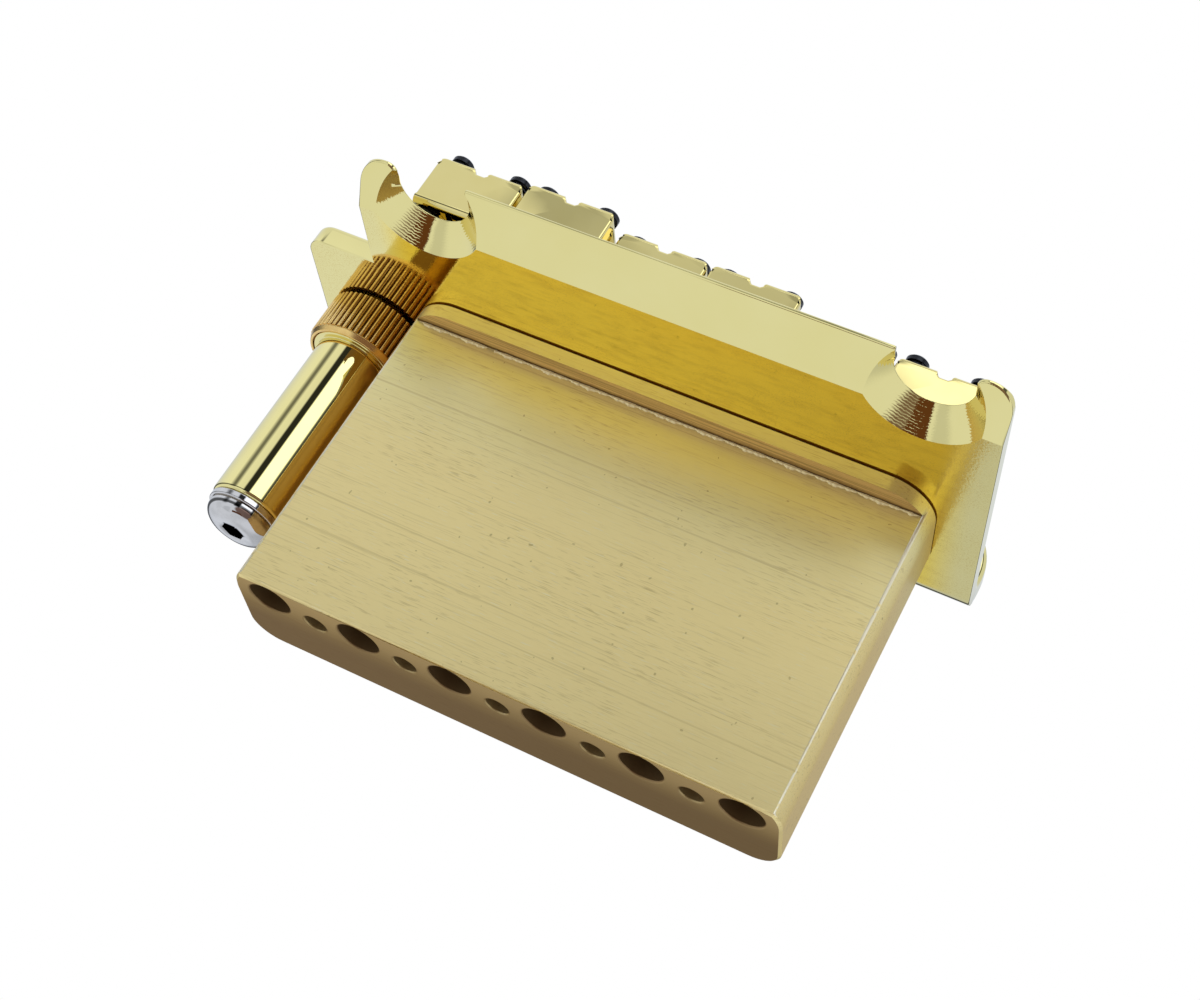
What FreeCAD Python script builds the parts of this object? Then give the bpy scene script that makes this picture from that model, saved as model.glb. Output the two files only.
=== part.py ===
import FreeCAD, Part
import math
import os

from FreeCAD import Vector

# A two-post guitar tremolo bridge, right-handed, in millimetres.
# X runs across the strings, +Y from the neck to the tail, +Z up to the strings.
# The origin is midway between the two post axes, on the plate's top face, at the knife edges.

# Strings and posts
string_count = 6
string_pitch = 10.8
post_spacing = 56.0
fingerboard_radius = 400.0

# Base plate, a thick sheet with its tail end bent up into a lip
plate_thickness = 2.8
plate_front = 2.3
bevel_run = 5.6
front_edge = 0.4
edge_round = 0.8
ear_width = 4.1
ear_corner = 2.8
ear_inner_corner = 1.1
notch_radius = 4.2
notch_half_angle = 45.0
plate_margin = 4.1
bend_radius = 1.5
lip_margin = 1.3
lip_corner = 7.5
string_slot_width = 3.0
string_slot_reach = 3.0

# Arm-side wing of the plate
wing_overhang = 1.35
wing_front_reach = 12.3
wing_corner = 2.3
wing_back_corner = 6.0

# Sustain block
block_front = 17.5
block_depth = 12.7
block_height = 38.4
block_margin = 4.2
block_front_corner = 5.4
block_back_corner = 3.5
block_edge = 0.3
flange_proud = 2.4
flange_height = 1.9
string_hole_inset = 2.75
string_hole_radius = 2.45
string_hole_roof = 8.0
string_pass_radius = 1.1
spring_hole_inset = 3.85
spring_hole_radius = 1.35
spring_hole_depth = 9.0

# Countersunk screws that hold the block under the plate
block_screw_count = 3
block_screw_setback = 8.0
block_screw_radius = 2.0
block_screw_head = 3.7
block_screw_length = 14.0
block_screw_hex = 2.5
block_screw_hex_depth = 1.3

# Saddles
saddle_gap = 0.4
saddle_height = 6.65
saddle_land = 5.0
saddle_drop = 1.3
saddle_corner = 1.2
saddle_edge = 0.5
saddle_foot_edge = 0.75
saddle_lift = 1.25
saddle_start = 3.8
saddle_travel = 8.0
saddle_settings = (0.4, 0.4, 3.3, 3.3, 6.2, 6.2)
height_travel = 1.0
slot_width = 4.6
slot_corner = 0.6
slot_front_room = 2.0
slot_back_room = 0.8
rear_wall = 2.0
groove_floor_width = 0.9
groove_top_width = 2.4
groove_depth = 1.2
groove_drop = 5.4

# Height screws, two to a saddle
height_screw_radius = 1.3
height_screw_offset = 3.6
height_screw_setback = 2.2
height_screw_proud = 0.7
height_screw_hex = 1.5
height_screw_hex_depth = 1.5
height_screw_point = 0.4

# Intonation screws and their springs
screw_radius = 1.5
screw_axis_height = 3.05
screw_point_room = 0.8
screw_point = 0.5
screw_head_radius = 2.9
screw_head_length = 2.0
screw_head_crown = 0.7
screw_hex = 2.5
screw_hex_depth = 1.2
wire_radius = 0.25
spring_clearance = 0.35
spring_turns = 5
spring_slack = 0.8

# Arm socket below the wing
arm_setback = 7.4
arm_radius = 2.8
bush_wall = 0.8
bush_pad_gap = 3.8
socket_wall = 0.8
socket_length = 28.4
socket_end_wall = 3.0
socket_end_break = 0.4
socket_neck_step = 0.55
shoulder_radius = 5.2
shoulder_length = 0.7
nut_radius = 4.9
nut_height = 2.2
nut_edge = 0.5
ring_radius = 6.0
ring_length = 5.8
ring_recess = 0.8
ring_edge = 0.35
ring_plate_gap = 0.35
ring_block_gap = 0.5
nut_saddle_gap = 0.4
pad_length = 2.0
socket_screw_radius = 1.5
socket_screw_proud = 0.6
socket_screw_head = 4.3
socket_screw_rim = 0.5
socket_screw_flat = 1.9
socket_screw_head_length = 2.3
socket_screw_hex = 2.5
socket_screw_hex_depth = 1.2
washer_radius = 4.3
washer_length = 0.8

# Clearances
fit_gap = 0.05
slide_gap = 0.1
seat_gap = 0.05
cut_extra = 1.0
touching = 0.001

# Places worked out from the sizes above
span = (string_count - 1) * string_pitch
string_xs = [i * string_pitch - span / 2 for i in range(string_count)]
spring_xs = [(a + b) / 2 for a, b in zip(string_xs, string_xs[1:])]
post_x = post_spacing / 2
saddle_width = string_pitch - saddle_gap
saddle_half_span = span / 2 + saddle_width / 2
half_width = max(post_x + notch_radius + ear_width, saddle_half_span + plate_margin)
front_y = -plate_front
bevel_foot = front_y + bevel_run
underside = -plate_thickness
string_y = block_front + string_hole_inset
spring_y = block_front + spring_hole_inset
block_back = block_front + block_depth
block_half = span / 2 + block_margin
block_bottom = underside - block_height
block_screw_y = block_front + block_screw_setback

slot_start = string_y - saddle_start - saddle_travel - slot_front_room
slot_end = string_y - saddle_start + slot_back_room
saddle_length = slot_end + rear_wall
saddle_fronts = [saddle_start + s for s in saddle_settings]
arch = [math.sqrt(fingerboard_radius ** 2 - x ** 2) for x in string_xs]
saddle_lifts = [saddle_lift + a - min(arch) for a in arch]
height_screw_length = max(saddle_lifts) + saddle_height + height_screw_proud
screw_heights = [lift + screw_axis_height for lift in saddle_lifts]

wire_diameter = 2 * wire_radius
spring_radius = screw_radius + spring_clearance + wire_radius
spring_solid = (spring_turns + 1) * wire_diameter
lip_inner = saddle_start + saddle_travel + saddle_length + spring_solid + spring_slack
lip_outer = lip_inner + plate_thickness
bend_start = lip_inner - bend_radius
lip_slot_half = screw_radius + 2 * slide_gap
lip_slot_low = min(screw_heights) - height_travel
lip_slot_high = max(screw_heights) + height_travel
lip_height = lip_slot_high + lip_slot_half + lip_margin

socket_bore = arm_radius + bush_wall + fit_gap
socket_radius = socket_bore + socket_wall
socket_neck_radius = socket_radius - socket_neck_step
arm_x = -max(saddle_half_span + nut_saddle_gap + nut_radius,
             block_half + ring_block_gap + ring_radius)
arm_y = block_front + arm_setback
socket_end = underside - socket_length
pad_bottom = socket_end + socket_end_wall + socket_screw_proud
pad_top = pad_bottom + pad_length
ring_top = underside - ring_plate_gap
ring_bottom = ring_top - ring_length
shoulder_top = ring_bottom + ring_recess - slide_gap
wing_left = arm_x - ring_radius - wing_overhang
wing_front = arm_y - wing_front_reach


def flat(u, v):
    return Vector(u, v, 0)


def upright(u, v):
    return Vector(u, 0, v)


def sideways(u, v):
    return Vector(0, u, v)


def outline(corners, place):
    # A closed face through corners (u, v, radius), each rounded by its own radius.
    entries, exits, middles = [], [], []
    for i, (u, v, radius) in enumerate(corners):
        here = flat(u, v)
        back = (flat(*corners[i - 1][:2]) - here).normalize()
        ahead = (flat(*corners[(i + 1) % len(corners)][:2]) - here).normalize()
        half = back.getAngle(ahead) / 2
        reach = radius / math.tan(half)
        entries.append(here + back * reach)
        exits.append(here + ahead * reach)
        middles.append(here + (back + ahead).normalize() * (radius / math.sin(half) - radius))
    edges = []
    for i, corner in enumerate(corners):
        entry, middle, leave = (place(p.x, p.y) for p in (entries[i], middles[i], exits[i]))
        following = entries[(i + 1) % len(corners)]
        if corner[2] > 0:
            edges.append(Part.Arc(entry, middle, leave).toShape())
        if exits[i].distanceToPoint(following) > touching:
            edges.append(Part.LineSegment(leave, place(following.x, following.y)).toShape())
    return Part.Face(Part.Wire(edges))


def box(x0, x1, y0, y1, z0, z1):
    return Part.makeBox(x1 - x0, y1 - y0, z1 - z0, Vector(x0, y0, z0))


def rod(x, y, z0, z1, radius):
    return Part.makeCylinder(radius, z1 - z0, Vector(x, y, z0))


def turned(profile, x, y):
    # A solid of revolution about the vertical through (x, y), from (radius, height) corners.
    points = [upright(r, z) for r, z in profile]
    face = Part.Face(Part.makePolygon(points + points[:1]))
    solid = face.revolve(Vector(0, 0, 0), Vector(0, 0, 1), 360)
    return solid.translated(Vector(x, y, 0))


def hexagon(x, y, z0, z1, across_flats):
    radius = across_flats / math.sqrt(3)
    angles = [i * math.pi / 3 for i in range(6)]
    points = [Vector(x + radius * math.cos(a), y + radius * math.sin(a), z0) for a in angles]
    return Part.Face(Part.makePolygon(points + points[:1])).extrude(Vector(0, 0, z1 - z0))


def stadium(x, y0, y1, z0, z1, width):
    # An upright slot with round ends, its ends' outermost points at y0 and y1.
    radius = width / 2
    slot = box(x - radius, x + radius, y0 + radius, y1 - radius, z0, z1)
    return slot.fuse([rod(x, y0 + radius, z0, z1, radius), rod(x, y1 - radius, z0, z1, radius)])


def lying(shape, x, y, z):
    # Turns a shape that was made along +Z to run along +Y, with its origin at (x, y, z).
    copy = shape.copy()
    copy.rotate(Vector(0, 0, 0), Vector(1, 0, 0), -90)
    return copy.translated(Vector(x, y, z))


def base_plate():
    sheet = [(-half_width, underside, 0), (half_width, underside, 0),
             (half_width, 0, edge_round), (-half_width, 0, edge_round)]
    section = outline(sheet, upright)
    bend_axis = Vector(0, bend_start, bend_radius)
    floor = section.translated(Vector(0, front_y, 0)).extrude(Vector(0, bend_start - front_y, 0))
    at_bend = section.translated(Vector(0, bend_start, 0))
    bend = at_bend.revolve(bend_axis, Vector(1, 0, 0), 90)
    lip = outline([(-half_width, bend_radius, 0), (half_width, bend_radius, 0),
                   (half_width, lip_height, lip_corner), (-half_width, lip_height, lip_corner)], upright)
    lip = lip.translated(Vector(0, lip_inner, 0)).extrude(Vector(0, plate_thickness, 0))
    inner_rim = [e for e in lip.Edges
                 if e.BoundBox.YMax < lip_inner + touching and e.BoundBox.ZMax > bend_radius + touching]
    lip = lip.makeFillet(edge_round, inner_rim)
    mouth = post_x - notch_radius
    ear = post_x + notch_radius
    half_plan = [(mouth, front_y, 0), (mouth, 0, 0), (ear, 0, 0), (ear, front_y, ear_inner_corner),
                 (half_width, front_y, ear_corner), (half_width, bend_start, 0)]
    other_half = [(-x, y, radius) for x, y, radius in reversed(half_plan)]
    plan = outline(half_plan + other_half, flat)
    floor = floor.common(plan.translated(Vector(0, 0, underside)).extrude(Vector(0, 0, plate_thickness)))
    wing = outline([(-half_width + ear_width, wing_front, 0), (-half_width + ear_width, bend_start, 0),
                    (wing_left, bend_start, wing_back_corner), (wing_left, wing_front, wing_corner)], flat)
    wing = wing.translated(Vector(0, 0, underside)).extrude(Vector(0, 0, plate_thickness))
    rim = [e for e in wing.Edges if e.BoundBox.ZMin > -touching and e.BoundBox.XMin < -half_width]
    wing = wing.makeFillet(edge_round, rim)
    plate = floor.fuse([bend, lip, wing]).removeSplitter()

    # The long bevel under the front edge, then the conical notches that bear on the posts
    low, high = underside - cut_extra, cut_extra
    ahead = front_y - cut_extra
    reach = half_width + cut_extra
    corners = [(bevel_foot, underside), (front_y, -front_edge), (ahead, -front_edge), (ahead, low),
               (bevel_foot, low), (bevel_foot, underside)]
    bevel = Part.Face(Part.makePolygon([sideways(y, z) for y, z in corners]))
    cuts = [bevel.translated(Vector(-reach, 0, 0)).extrude(Vector(2 * reach, 0, 0))]
    slope = math.tan(math.radians(notch_half_angle))
    for x in (-post_x, post_x):
        wide, narrow = notch_radius - low * slope, notch_radius - high * slope
        cuts.append(Part.makeCone(wide, narrow, high - low, Vector(x, 0, low)))
        cuts.append(rod(x, 0, low, high, notch_radius))
    for x in string_xs:
        cuts.append(stadium(x, string_y - string_slot_width / 2 - string_slot_reach,
                            string_y + string_slot_width / 2, low, high, string_slot_width))
    for x in block_screw_xs():
        cuts.append(countersink(x))
    for x in string_xs:
        cuts.append(lying(stadium(0, -lip_slot_high - lip_slot_half, -lip_slot_low + lip_slot_half, 0,
                                  plate_thickness + 2 * cut_extra, 2 * lip_slot_half),
                          x, lip_inner - cut_extra, 0))
    cuts.append(rod(arm_x, arm_y, low, high, socket_neck_radius + fit_gap))
    return plate.cut(cuts)


def block_screw_xs():
    step = 2 * string_pitch
    return [(i - (block_screw_count - 1) / 2) * step for i in range(block_screw_count)]


def countersink(x):
    head, shank = block_screw_head + fit_gap, block_screw_radius + fit_gap
    profile = [(0, cut_extra), (head + cut_extra, cut_extra), (shank, shank - head),
               (shank, underside - cut_extra), (0, underside - cut_extra)]
    return turned(profile, x, block_screw_y)


def block_screws():
    solids = []
    for x in block_screw_xs():
        profile = [(0, -fit_gap), (block_screw_head - fit_gap, -fit_gap),
                   (block_screw_radius, block_screw_radius - block_screw_head - fit_gap),
                   (block_screw_radius, -block_screw_length), (0, -block_screw_length)]
        screw = turned(profile, x, block_screw_y)
        socket = hexagon(x, block_screw_y, -block_screw_hex_depth, cut_extra, block_screw_hex)
        solids.append(screw.cut(socket))
    return Part.makeCompound(solids)


def sustain_block():
    # A round-cornered bar, milled flat at the front up to the flange that it leaves under the plate.
    flange_front = block_front - flange_proud
    front, back = (flange_front, block_front_corner), (block_back, block_back_corner)
    corners = [(-block_half, *front), (block_half, *front), (block_half, *back), (-block_half, *back)]
    bar = outline(corners, flat)
    bar = bar.translated(Vector(0, 0, block_bottom)).extrude(Vector(0, 0, block_height))
    reach = block_half + cut_extra
    block = bar.cut(box(-reach, reach, flange_front - cut_extra, block_front,
                        block_bottom - cut_extra, underside - flange_height))
    rim = [e for e in block.Edges if e.BoundBox.ZMax < block_bottom + touching]
    block = block.makeChamfer(block_edge, rim)
    cuts = []
    for x in string_xs:
        roof = underside - string_hole_roof
        cuts.append(turned([(0, block_bottom - cut_extra), (string_hole_radius, block_bottom - cut_extra),
                            (string_hole_radius, roof), (string_pass_radius, roof),
                            (string_pass_radius, cut_extra), (0, cut_extra)], x, string_y))
    for x in spring_xs:
        cuts.append(rod(x, spring_y, block_bottom - cut_extra, block_bottom + spring_hole_depth,
                        spring_hole_radius))
    for x in block_screw_xs():
        cuts.append(rod(x, block_screw_y, -block_screw_length - slide_gap, 0, block_screw_radius + fit_gap))
    return block.cut(cuts)


def saddle():
    half = saddle_width / 2
    low_top = saddle_height - saddle_drop
    side = outline([(0, 0, saddle_foot_edge), (0, saddle_height, saddle_edge), (saddle_land, saddle_height, 0),
                    (slot_end, low_top, 0), (saddle_length, low_top, saddle_edge), (saddle_length, 0, 0)],
                   sideways)
    front = outline([(-half, 0, 0), (half, 0, 0), (half, saddle_height, saddle_corner),
                     (-half, saddle_height, saddle_corner)], upright)
    body = side.translated(Vector(-half, 0, 0)).extrude(Vector(saddle_width, 0, 0))
    body = body.common(front.extrude(Vector(0, saddle_length, 0)))
    wall = slot_width / 2
    slot = outline([(-wall, slot_start, slot_corner), (wall, slot_start, slot_corner),
                    (wall, slot_end, slot_corner), (-wall, slot_end, slot_corner)], flat)
    cuts = [slot.translated(Vector(0, 0, -cut_extra)).extrude(Vector(0, 0, saddle_height + 2 * cut_extra))]

    # The string's groove over the crest, falling towards the slot
    top = saddle_height + cut_extra
    crest, foot = saddle_height - groove_depth, saddle_height - groove_drop
    low, high = groove_floor_width / 2, groove_top_width / 2
    ends = []
    for y, floor in ((-cut_extra, crest), (saddle_edge, crest), (slot_start + slot_corner, foot)):
        ends.append(Part.makePolygon([Vector(-low, y, floor), Vector(low, y, floor), Vector(high, y, top),
                                      Vector(-high, y, top), Vector(-low, y, floor)]))
    cuts.append(Part.makeLoft(ends[:2], True, True))
    cuts.append(Part.makeLoft(ends[1:], True, True))
    for x in (-height_screw_offset, height_screw_offset):
        cuts.append(rod(x, height_screw_setback, -cut_extra, top, height_screw_radius + slide_gap))
    cuts.append(lying(rod(0, 0, 0, rear_wall + 2 * cut_extra, screw_radius + slide_gap),
                      0, slot_end - cut_extra, screw_axis_height))
    return body.cut(cuts)


def height_screws(k):
    solids = []
    y = saddle_fronts[k] + height_screw_setback
    top = seat_gap + height_screw_length
    for side in (-1, 1):
        x = string_xs[k] + side * height_screw_offset
        profile = [(0, seat_gap), (height_screw_radius - height_screw_point, seat_gap),
                   (height_screw_radius, seat_gap + height_screw_point), (height_screw_radius, top),
                   (0, top)]
        socket = hexagon(x, y, top - height_screw_hex_depth, top + cut_extra, height_screw_hex)
        solids.append(turned(profile, x, y).cut(socket))
    return Part.makeCompound(solids)


def intonation_screw(k):
    # Made upright with its head's seat at zero, then laid along the string.
    tip = string_y + screw_point_room - lip_outer
    crown = screw_head_length - screw_head_crown
    profile = [(0, tip), (screw_radius - screw_point, tip), (screw_radius, tip + screw_point),
               (screw_radius, seat_gap), (screw_head_radius, seat_gap), (screw_head_radius, crown),
               (screw_head_radius - screw_head_crown, screw_head_length), (0, screw_head_length)]
    hex_floor = screw_head_length - screw_hex_depth
    socket = hexagon(0, 0, hex_floor, screw_head_length + cut_extra, screw_hex)
    return lying(turned(profile, 0, 0).cut(socket), string_xs[k], lip_outer, screw_heights[k])


def arc_from(start, tangent, end):
    # The arc that leaves start along tangent and ends at end.
    chord = end - start
    along = Vector(chord).normalize()
    across = tangent - along * tangent.dot(along)
    rise = chord.Length / 2 * math.tan(tangent.getAngle(chord) / 2)
    middle = (start + end) * 0.5 + across.normalize() * rise
    return Part.Arc(start, middle, end).toShape()


def biarc(start, leave, end, arrive):
    # Two arcs that meet smoothly halfway, from start along leave to end along arrive.
    gap, turn = end - start, leave + arrive
    spread = 2 * (1 - leave.dot(arrive))
    reach = (math.sqrt(gap.dot(turn) ** 2 + spread * gap.dot(gap)) - gap.dot(turn)) / spread
    joint = (start + leave * reach + end - arrive * reach) * 0.5
    first = arc_from(start, leave, joint)
    second = arc_from(end, arrive * -1, joint)
    return [first, second.reversed()]


def intonation_spring(k):
    # A wound spring round its screw, from the saddle's rear wall to the lip.
    y0 = saddle_fronts[k] + saddle_length + seat_gap + wire_radius
    y1 = lip_inner - seat_gap - wire_radius
    rise = (y1 - y0) / (2 * math.pi * spring_turns)

    def point(angle):
        return Vector(string_xs[k] + spring_radius * math.cos(angle), y0 + rise * angle,
                      screw_heights[k] + spring_radius * math.sin(angle))

    def heading(angle):
        return Vector(-spring_radius * math.sin(angle), rise, spring_radius * math.cos(angle)).normalize()

    edges = []
    for i in range(2 * spring_turns):
        a, b = i * math.pi, (i + 1) * math.pi
        edges += biarc(point(a), heading(a), point(b), heading(b))
    path = Part.Wire(Part.__sortEdges__(edges))
    ring = Part.Wire(Part.makeCircle(wire_radius, point(0), heading(0)))
    samples = [point(i * math.pi / 18) for i in range(36 * spring_turns + 1)]
    gap = min(p.distanceToPoint(q) for i, p in enumerate(samples) for q in samples[i + 18:]) - wire_diameter
    print("spring", k + 1, "least gap between turns", round(gap, 2))
    return path.makePipeShell([ring], True, False)


def arm_socket():
    break_top = socket_end + socket_end_break
    profile = [(socket_screw_radius + fit_gap, socket_end), (socket_radius - socket_end_break, socket_end),
               (socket_radius, break_top), (socket_radius, shoulder_top - shoulder_length),
               (shoulder_radius, shoulder_top - shoulder_length), (shoulder_radius, shoulder_top),
               (socket_radius, shoulder_top), (socket_radius, underside), (socket_neck_radius, underside),
               (socket_neck_radius, nut_height), (socket_bore, nut_height),
               (socket_bore, socket_end + socket_end_wall),
               (socket_screw_radius + fit_gap, socket_end + socket_end_wall)]
    return turned(profile, arm_x, arm_y)


def socket_nut():
    bore = socket_neck_radius + fit_gap
    profile = [(bore, 0), (nut_radius, 0), (nut_radius, nut_height - nut_edge),
               (nut_radius - nut_edge, nut_height), (bore, nut_height)]
    return turned(profile, arm_x, arm_y)


def arm_bush():
    low = pad_top + bush_pad_gap
    outer = arm_radius + bush_wall
    profile = [(arm_radius, low), (outer, low), (outer, nut_height), (arm_radius, nut_height)]
    return turned(profile, arm_x, arm_y)


def arm_stop_pad():
    return rod(arm_x, arm_y, pad_bottom, pad_top, socket_bore - slide_gap)


def socket_washer():
    bore = socket_screw_radius + slide_gap
    profile = [(bore, socket_end - washer_length), (washer_radius, socket_end - washer_length),
               (washer_radius, socket_end), (bore, socket_end)]
    return turned(profile, arm_x, arm_y)


def socket_screw():
    # A button head below the washer, its crown an arc that runs out of the flat round the hexagon.
    seat = socket_end - washer_length
    low = seat - socket_screw_head_length
    crown = upright(socket_screw_flat, low)
    points = [upright(socket_screw_head, seat - socket_screw_rim), upright(socket_screw_head, seat),
              upright(socket_screw_radius, seat), upright(socket_screw_radius, pad_bottom - seat_gap),
              upright(0, pad_bottom - seat_gap), upright(0, low), crown]
    edges = [arc_from(crown, Vector(1, 0, 0), points[0])]
    edges += [Part.LineSegment(a, b).toShape() for a, b in zip(points, points[1:])]
    screw = Part.Face(Part.Wire(edges)).revolve(Vector(0, 0, 0), Vector(0, 0, 1), 360)
    socket = hexagon(0, 0, low - cut_extra, low + socket_screw_hex_depth, socket_screw_hex)
    return screw.cut(socket).translated(Vector(arm_x, arm_y, 0))


def tension_ring():
    # Recessed below, so that the socket's shoulder sits inside it.
    bore = socket_radius + slide_gap
    recess = shoulder_radius + slide_gap
    recess_floor = ring_bottom + ring_recess
    inset = ring_radius - ring_edge
    profile = [(bore, recess_floor), (recess, recess_floor), (recess, ring_bottom), (inset, ring_bottom),
               (ring_radius, ring_bottom + ring_edge), (ring_radius, ring_top - ring_edge),
               (inset, ring_top), (bore, ring_top)]
    return turned(profile, arm_x, arm_y)


def main():
    os.makedirs("parts", exist_ok=True)
    pieces = {
        "base_plate": base_plate(),
        "sustain_block": sustain_block(),
        "block_screws": block_screws(),
        "arm_socket": arm_socket(),
        "socket_nut": socket_nut(),
        "arm_bush": arm_bush(),
        "arm_stop_pad": arm_stop_pad(),
        "socket_washer": socket_washer(),
        "socket_screw": socket_screw(),
        "tension_ring": tension_ring(),
    }
    pattern = saddle()
    for k in range(string_count):
        place = Vector(string_xs[k], saddle_fronts[k], saddle_lifts[k])
        pieces[f"saddle_{k + 1}"] = pattern.translated(place)
        pieces[f"height_screws_{k + 1}"] = height_screws(k)
        pieces[f"intonation_screw_{k + 1}"] = intonation_screw(k)
        pieces[f"intonation_spring_{k + 1}"] = intonation_spring(k)
    for name, shape in pieces.items():
        shape.exportStep(f"parts/{name}.step")
        print(name, "solids", len(shape.Solids), "valid", shape.isValid(), "volume", round(shape.Volume, 1))


main()
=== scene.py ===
import math

import bmesh
import bpy
from mathutils import Matrix, Vector


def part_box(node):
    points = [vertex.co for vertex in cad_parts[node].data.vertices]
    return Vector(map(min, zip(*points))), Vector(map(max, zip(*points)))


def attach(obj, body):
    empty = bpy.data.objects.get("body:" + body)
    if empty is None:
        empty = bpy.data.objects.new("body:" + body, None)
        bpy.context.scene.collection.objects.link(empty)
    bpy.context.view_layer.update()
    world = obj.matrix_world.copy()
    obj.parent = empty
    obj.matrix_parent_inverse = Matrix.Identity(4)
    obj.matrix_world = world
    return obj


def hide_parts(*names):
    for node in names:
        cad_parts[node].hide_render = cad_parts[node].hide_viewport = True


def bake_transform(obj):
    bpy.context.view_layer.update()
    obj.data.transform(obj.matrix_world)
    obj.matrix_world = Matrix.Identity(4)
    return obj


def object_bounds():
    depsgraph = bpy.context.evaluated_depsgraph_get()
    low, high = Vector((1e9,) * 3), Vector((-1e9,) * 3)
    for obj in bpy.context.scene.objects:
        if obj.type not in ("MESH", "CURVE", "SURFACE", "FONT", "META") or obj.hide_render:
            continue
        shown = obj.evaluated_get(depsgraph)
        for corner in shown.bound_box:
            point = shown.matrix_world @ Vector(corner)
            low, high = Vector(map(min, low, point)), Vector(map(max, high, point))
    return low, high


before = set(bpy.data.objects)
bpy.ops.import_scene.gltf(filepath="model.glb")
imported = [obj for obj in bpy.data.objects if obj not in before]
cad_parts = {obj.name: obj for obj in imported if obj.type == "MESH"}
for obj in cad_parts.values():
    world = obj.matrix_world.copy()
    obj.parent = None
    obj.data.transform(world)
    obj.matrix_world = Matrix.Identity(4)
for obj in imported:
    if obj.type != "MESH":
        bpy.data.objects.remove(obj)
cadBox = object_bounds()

mm = 0.001
crease = 32  # degrees past which an edge is drawn sharp
strings = range(1, 7)
scene = bpy.context.scene
print("frame loaded:", len(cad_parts), "nodes")


# A number socket that can stand in a sum: every operator adds one Math node
class Num:
    def __init__(self, tools, socket):
        self.tools = tools
        self.socket = socket

    def __add__(self, other):
        return self.tools.math("ADD", self, other)

    def __radd__(self, other):
        return self.tools.math("ADD", other, self)

    def __sub__(self, other):
        return self.tools.math("SUBTRACT", self, other)

    def __rsub__(self, other):
        return self.tools.math("SUBTRACT", other, self)

    def __mul__(self, other):
        return self.tools.math("MULTIPLY", self, other)

    def __rmul__(self, other):
        return self.tools.math("MULTIPLY", other, self)

    def __truediv__(self, other):
        return self.tools.math("DIVIDE", self, other)

    def __rtruediv__(self, other):
        return self.tools.math("DIVIDE", other, self)


# Makes the nodes of one tree, for materials, the world and geometry alike
class NodeTools:
    def __init__(self, tree):
        self.tree = tree
        tree.nodes.clear()

    # Each socket takes a value, another socket, or a node that stands for its first output
    def node(self, kind, sockets=None, **settings):
        made = self.tree.nodes.new(kind)
        for name, value in settings.items():
            if name == "stops":
                self.setStops(made.color_ramp, value)
            else:
                setattr(made, name, value)
        for key, value in (sockets or {}).items():
            value = getattr(value, "socket", value)
            if isinstance(value, bpy.types.Node):
                value = value.outputs[0]
            if isinstance(value, bpy.types.NodeSocket):
                self.tree.links.new(value, made.inputs[key])
            else:
                made.inputs[key].default_value = value
        return made

    def setStops(self, ramp, stops):
        while len(ramp.elements) < len(stops):
            ramp.elements.new(1.0)
        for element, (place, shade) in zip(ramp.elements, stops):
            element.position = place
            element.color = (shade, shade, shade, 1)

    def num(self, kind, sockets=None, out=0, **settings):
        return Num(self, self.node(kind, sockets, **settings).outputs[out])

    def math(self, operation, a, b=0.0):
        return self.num("ShaderNodeMath", {0: a, 1: b}, operation=operation)

    def step(self, value, low, high):
        return self.num("ShaderNodeMapRange", {"Value": value, "From Min": low, "From Max": high},
                        interpolation_type="SMOOTHSTEP")

    # One between the two steps, nothing outside them
    def band(self, value, rise, fall):
        return self.step(value, *rise) * (1 - self.step(value, *fall))

    def spread(self, factor, low, high):
        return low + (high - low) * factor

    def mixColour(self, factor, a, b):
        return self.node("ShaderNodeMix", {0: factor, 6: a, 7: b}, data_type="RGBA").outputs[2]

    def place(self, scale=(1, 1, 1), turn=(0, 0, 0)):
        coords = self.node("ShaderNodeTexCoord").outputs["Object"]
        return self.node("ShaderNodeMapping", {"Vector": coords, "Scale": scale, "Rotation": turn})

    def axes(self, vector):
        parts = self.node("ShaderNodeSeparateXYZ", {0: vector})
        return [Num(self, part) for part in parts.outputs]

    def noise(self, scale, detail, stretch=(1, 1, 1), turn=(0, 0, 0)):
        place = self.place(stretch, turn)
        return self.num("ShaderNodeTexNoise", {"Vector": place, "Scale": scale, "Detail": detail})

    def patches(self, look, name):
        return self.step(self.noise(*look[name]), *look[name + "Step"])

    def bump(self, height, strength, distance, normal=None):
        sockets = {"Height": height, "Strength": strength, "Distance": distance}
        if normal is not None:
            sockets["Normal"] = normal
        return self.node("ShaderNodeBump", sockets)

    def mark(self, name):
        return self.num("ShaderNodeAttribute", out="Fac", attribute_name=name)

    def surface(self, sockets):
        shader = self.node("ShaderNodeBsdfPrincipled", sockets)
        self.node("ShaderNodeOutputMaterial", {"Surface": shader})


# In every finish below a noise is (scale, detail, stretch, turn), its step is where its patches begin and
# are full, and a bump is (strength, distance)
def newFinish(name):
    finish = bpy.data.materials.new(name)
    finish.use_nodes = True
    return finish, NodeTools(finish.node_tree)


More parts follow.
